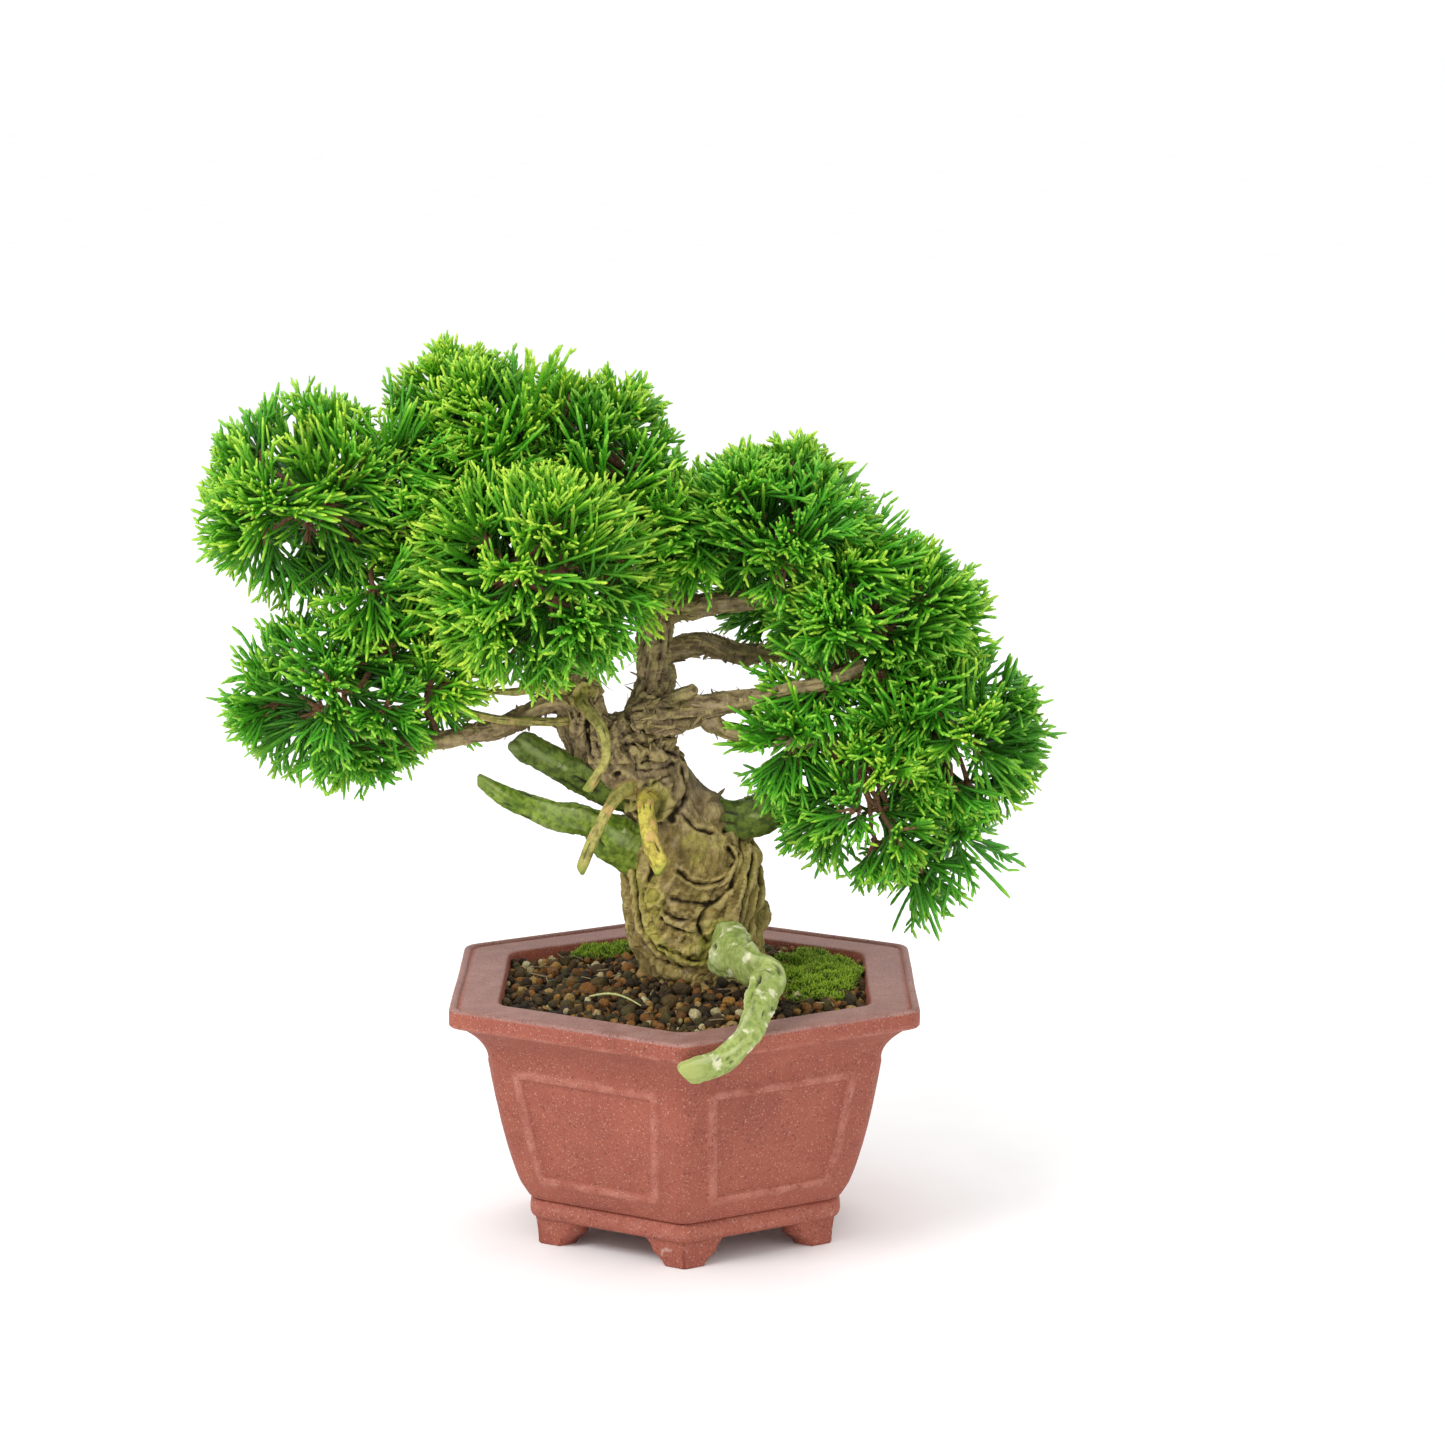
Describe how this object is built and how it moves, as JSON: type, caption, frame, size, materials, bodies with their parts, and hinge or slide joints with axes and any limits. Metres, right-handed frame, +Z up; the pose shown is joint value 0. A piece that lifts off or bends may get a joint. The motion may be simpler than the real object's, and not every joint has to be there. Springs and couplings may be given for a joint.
{
  "type": "potted bonsai tree",
  "caption": "Juniper bonsai with a twisted trunk, stripped deadwood limbs and rounded foliage pads, in a hexagonal unglazed clay pot on bracket feet.",
  "frame": {"origin": "under the middle of the object's box, on the surface that the pot's feet stand on", "axes": "+Z up, -Y towards the front, where the pot has a corner and the stripped limb hangs over the lip, +X to the right seen from the front"},
  "size_m": [0.2768, 0.1798, 0.2877],
  "materials": {
    "red_clay": "unglazed red-brown stoneware, matt, with pale specks and small chips",
    "drain_net": "black plastic net over the drain hole",
    "akadama_soil": "baked clay and pumice granules, damp brown with orange and tan grains",
    "moss": "low cushion of bright green moss",
    "juniper_bark": "ridged, flaking tan-brown bark with green algae streaks",
    "deadwood": "stripped wood, smooth, coated in yellow-green algae with bare pale patches",
    "juniper_foliage": "dense tufts of fine scale-leaved shoots, dark green with yellow-green tips"
  },
  "bodies": {
    "root": {"pot": "red_clay", "drainage_screen": "drain_net", "soil": "akadama_soil", "moss_right": "moss", "moss_back_left": "moss", "trunk": "juniper_bark", "stem_left": "juniper_bark", "stem_right": "juniper_bark", "branch_left_low": "juniper_bark", "branch_left_high": "juniper_bark", "branch_right_low": "juniper_bark", "branch_right_fork": "juniper_bark", "branch_right_mid": "juniper_bark", "branch_right_high": "juniper_bark", "branch_back": "juniper_bark", "jin_left_long": "deadwood", "jin_left_high": "deadwood", "jin_right": "deadwood", "jin_stub_front": "deadwood", "jin_thin_left": "deadwood", "jin_bent": "deadwood", "jin_hanging": "deadwood", "twig_bare_low": "deadwood", "twig_bare_high": "deadwood", "stub_cut": "deadwood", "foliage_left_low": "juniper_foliage", "foliage_left_outer": "juniper_foliage", "foliage_left_inner": "juniper_foliage", "foliage_top_left": "juniper_foliage", "foliage_top": "juniper_foliage", "foliage_front": "juniper_foliage", "foliage_right_top": "juniper_foliage", "foliage_right_mid": "juniper_foliage", "foliage_right_outer": "juniper_foliage", "foliage_right_hang": "juniper_foliage", "foliage_back": "juniper_foliage", "foliage_back_right": "juniper_foliage"}
  },
  "joints": []
}
